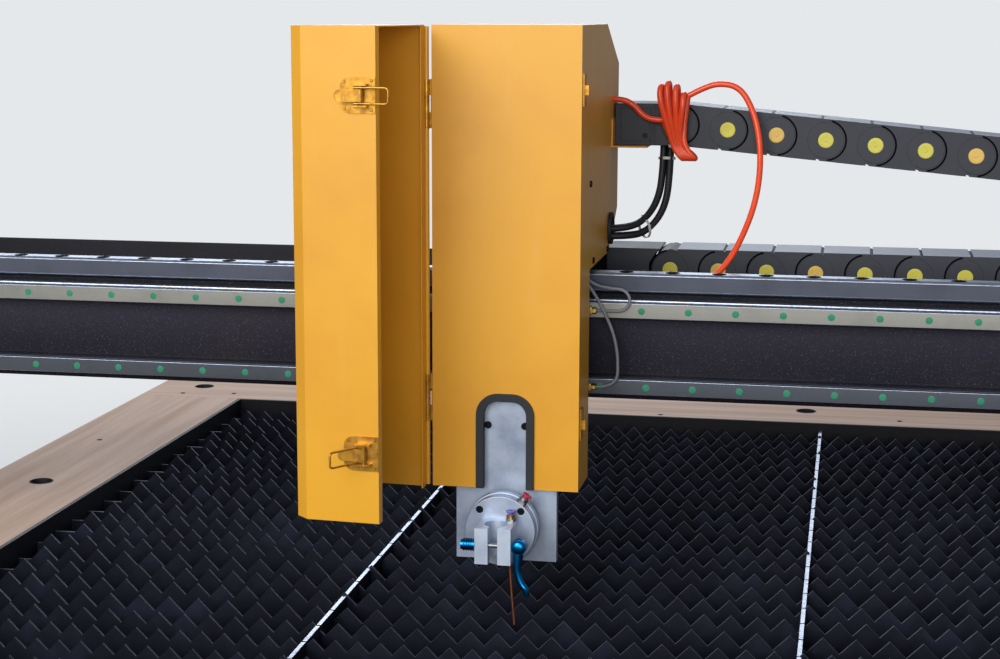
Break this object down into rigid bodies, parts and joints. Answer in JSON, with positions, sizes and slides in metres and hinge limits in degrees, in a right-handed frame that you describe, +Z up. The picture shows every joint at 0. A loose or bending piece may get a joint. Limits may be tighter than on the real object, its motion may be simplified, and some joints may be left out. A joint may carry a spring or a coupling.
{
  "type": "cnc plasma cutter",
  "caption": "Gantry plasma cutting table: serrated slat bed, beam on racks and rails, hooded head with hinged cover and clamp for a torch, drag chain.",
  "frame": {"origin": "on the floor, under the middle of the machine", "axes": "+Y along the bed away from the front, +X along the beam to the right, +Z up"},
  "size_m": [2.58, 3.9, 1.545],
  "materials": {
    "cover_paint": "semi-gloss textured paint on sheet steel",
    "dark_paint": "black textured paint",
    "slat_steel": "scaled dark sheet steel with bare cut edges",
    "timber": "plain sanded board",
    "rail_steel": "ground steel",
    "rack_steel": "dark machined steel",
    "block_steel": "ground steel",
    "plate_aluminium": "machined, lightly brushed",
    "clamp_aluminium": "bead blasted",
    "motor_black": "satin black",
    "fitting_zinc": "yellow passivated zinc",
    "edging_rubber": "soft black rubber",
    "chain_plastic": "moulded black plastic",
    "cam_plastic": "blue moulded plastic",
    "stub_brass": "turned brass",
    "wire_copper": "bare copper",
    "air_tube": "orange plastic air tube",
    "cable_black": "black cable sheath",
    "grease_line": "light grey plastic tube"
  },
  "bodies": {
    "bed": {"bed_frame": "dark_paint", "leveling_feet": "block_steel", "bed_tub": "dark_paint", "slat_dividers": "slat_steel", "slats": "slat_steel", "boards": "timber", "y_rails": "rail_steel", "y_racks": "rack_steel", "y_end_stops": "block_steel"},
    "gantry": {"gantry_beam": "dark_paint", "uprights": "dark_paint", "y_bearing_blocks": "block_steel", "y_motors": "motor_black", "x_rails": "rail_steel", "x_rack": "rack_steel", "x_end_stops": "block_steel", "chain_tray": "dark_paint", "chain_lower_run": "chain_plastic"},
    "left_pinion": {"y_pinion_left": "rack_steel"},
    "right_pinion": {"y_pinion_right": "rack_steel"},
    "carriage": {"carriage_plates": "plate_aluminium", "x_bearing_blocks": "block_steel", "x_motor": "motor_black", "z_back_plate": "plate_aluminium", "z_rails": "rail_steel", "z_motor": "motor_black", "housing_shell": "cover_paint", "rubber_edgings": "edging_rubber", "housing_fittings": "fitting_zinc", "chain_shelf": "cover_paint", "chain_end": "chain_plastic", "chain_upper_run": "chain_plastic", "grease_fittings": "stub_brass", "grease_line_upper": "grease_line", "grease_line_lower": "grease_line", "air_tube_lead": "air_tube", "air_tube_hank": "air_tube", "air_tube_tail": "air_tube", "cable_1": "cable_black", "cable_2": "cable_black", "cable_3": "cable_black", "cable_4": "cable_black"},
    "carriage_pinion": {"x_pinion": "rack_steel"},
    "lift_screw": {"z_screw": "rail_steel"},
    "chain_bend": {"chain_bend": "chain_plastic"},
    "cover": {"door_shell": "cover_paint", "cover_fittings": "fitting_zinc"},
    "upper_latch_lever": {"latch_lever_upper": "fitting_zinc"},
    "lower_latch_lever": {"latch_lever_lower": "fitting_zinc"},
    "upper_latch_bail": {"latch_bail_upper": "fitting_zinc"},
    "lower_latch_bail": {"latch_bail_lower": "fitting_zinc"},
    "lifter": {"lifter_plate": "plate_aluminium", "z_carrier": "plate_aluminium", "breakaway_ring": "plate_aluminium", "breakaway_disc": "plate_aluminium", "torch_clamp": "clamp_aluminium", "clamp_screw": "block_steel", "torch_fittings": "stub_brass", "copper_wire": "wire_copper"},
    "cam_lever": {"cam_lever": "cam_plastic"}
  },
  "joints": [
    {"name": "gantry_slide", "type": "slide", "parent": "bed", "child": "gantry", "axis": [0, 1, 0], "range_m": [-2, 1.13]},
    {"name": "left_pinion_spin", "type": "hinge", "parent": "gantry", "child": "left_pinion", "pos_m": [-1.2425, 0.5705, 0.62], "axis": [0, 0, 1], "continuous": true},
    {"name": "right_pinion_spin", "type": "hinge", "parent": "gantry", "child": "right_pinion", "pos_m": [1.2425, 0.5705, 0.62], "axis": [0, 0, 1], "continuous": true},
    {"name": "carriage_slide", "type": "slide", "parent": "gantry", "child": "carriage", "axis": [1, 0, 0], "range_m": [-0.72, 0.86], "deforming": ["chain_upper_run", "chain_lower_run"]},
    {"name": "carriage_pinion_spin", "type": "hinge", "parent": "carriage", "child": "carriage_pinion", "pos_m": [-0.069, 0.535, 1.22], "axis": [0, 0, 1], "continuous": true},
    {"name": "chain_bend_slide", "type": "slide", "parent": "carriage", "child": "chain_bend", "axis": [1, 0, 0], "range_m": [-0.43, 0.36]},
    {"name": "lift_slide", "type": "slide", "parent": "carriage", "child": "lifter", "axis": [0, 0, 1], "range_m": [-0.01, 0.11]},
    {"name": "lift_screw_spin", "type": "hinge", "parent": "carriage", "child": "lift_screw", "pos_m": [-0.069, 0.408, 1.2], "axis": [0, 0, 1], "continuous": true},
    {"name": "cover_hinge", "type": "hinge", "parent": "carriage", "child": "cover", "pos_m": [-0.168, 0.357, 1.2565], "axis": [0, 0, 1], "range_deg": [-26, 94]},
    {"name": "upper_latch_pivot", "type": "hinge", "parent": "cover", "child": "upper_latch_lever", "pos_m": [-0.19937, 0.15921, 1.467], "axis": [0, 0, 1], "range_deg": [0, 90]},
    {"name": "upper_bail_pivot", "type": "hinge", "parent": "upper_latch_lever", "child": "upper_latch_bail", "pos_m": [-0.20657, 0.1567, 1.467], "axis": [0, 0, 1], "range_deg": [-90, 0]},
    {"name": "lower_latch_pivot", "type": "hinge", "parent": "cover", "child": "lower_latch_lever", "pos_m": [-0.19937, 0.15921, 1.052], "axis": [0, 0, 1], "range_deg": [0, 90]},
    {"name": "lower_bail_pivot", "type": "hinge", "parent": "lower_latch_lever", "child": "lower_latch_bail", "pos_m": [-0.20657, 0.1567, 1.052], "axis": [0, 0, 1], "range_deg": [-90, 0]},
    {"name": "cam_pivot", "type": "hinge", "parent": "lifter", "child": "cam_lever", "pos_m": [-0.0367, 0.2805, 0.916], "axis": [0, -1, 0], "range_deg": [0, 55]}
  ],
  "couplings": [
    {"joint": "left_pinion_spin", "follows": "gantry_slide", "rad_per_m": -55.556},
    {"joint": "right_pinion_spin", "follows": "gantry_slide", "rad_per_m": 55.556},
    {"joint": "carriage_pinion_spin", "follows": "carriage_slide", "rad_per_m": -55.556},
    {"joint": "chain_bend_slide", "follows": "carriage_slide", "ratio": -0.5},
    {"joint": "lift_screw_spin", "follows": "lift_slide", "rad_per_m": -1256.6},
    {"joint": "upper_bail_pivot", "follows": "upper_latch_pivot", "ratio": -1},
    {"joint": "lower_bail_pivot", "follows": "lower_latch_pivot", "ratio": -1}
  ]
}
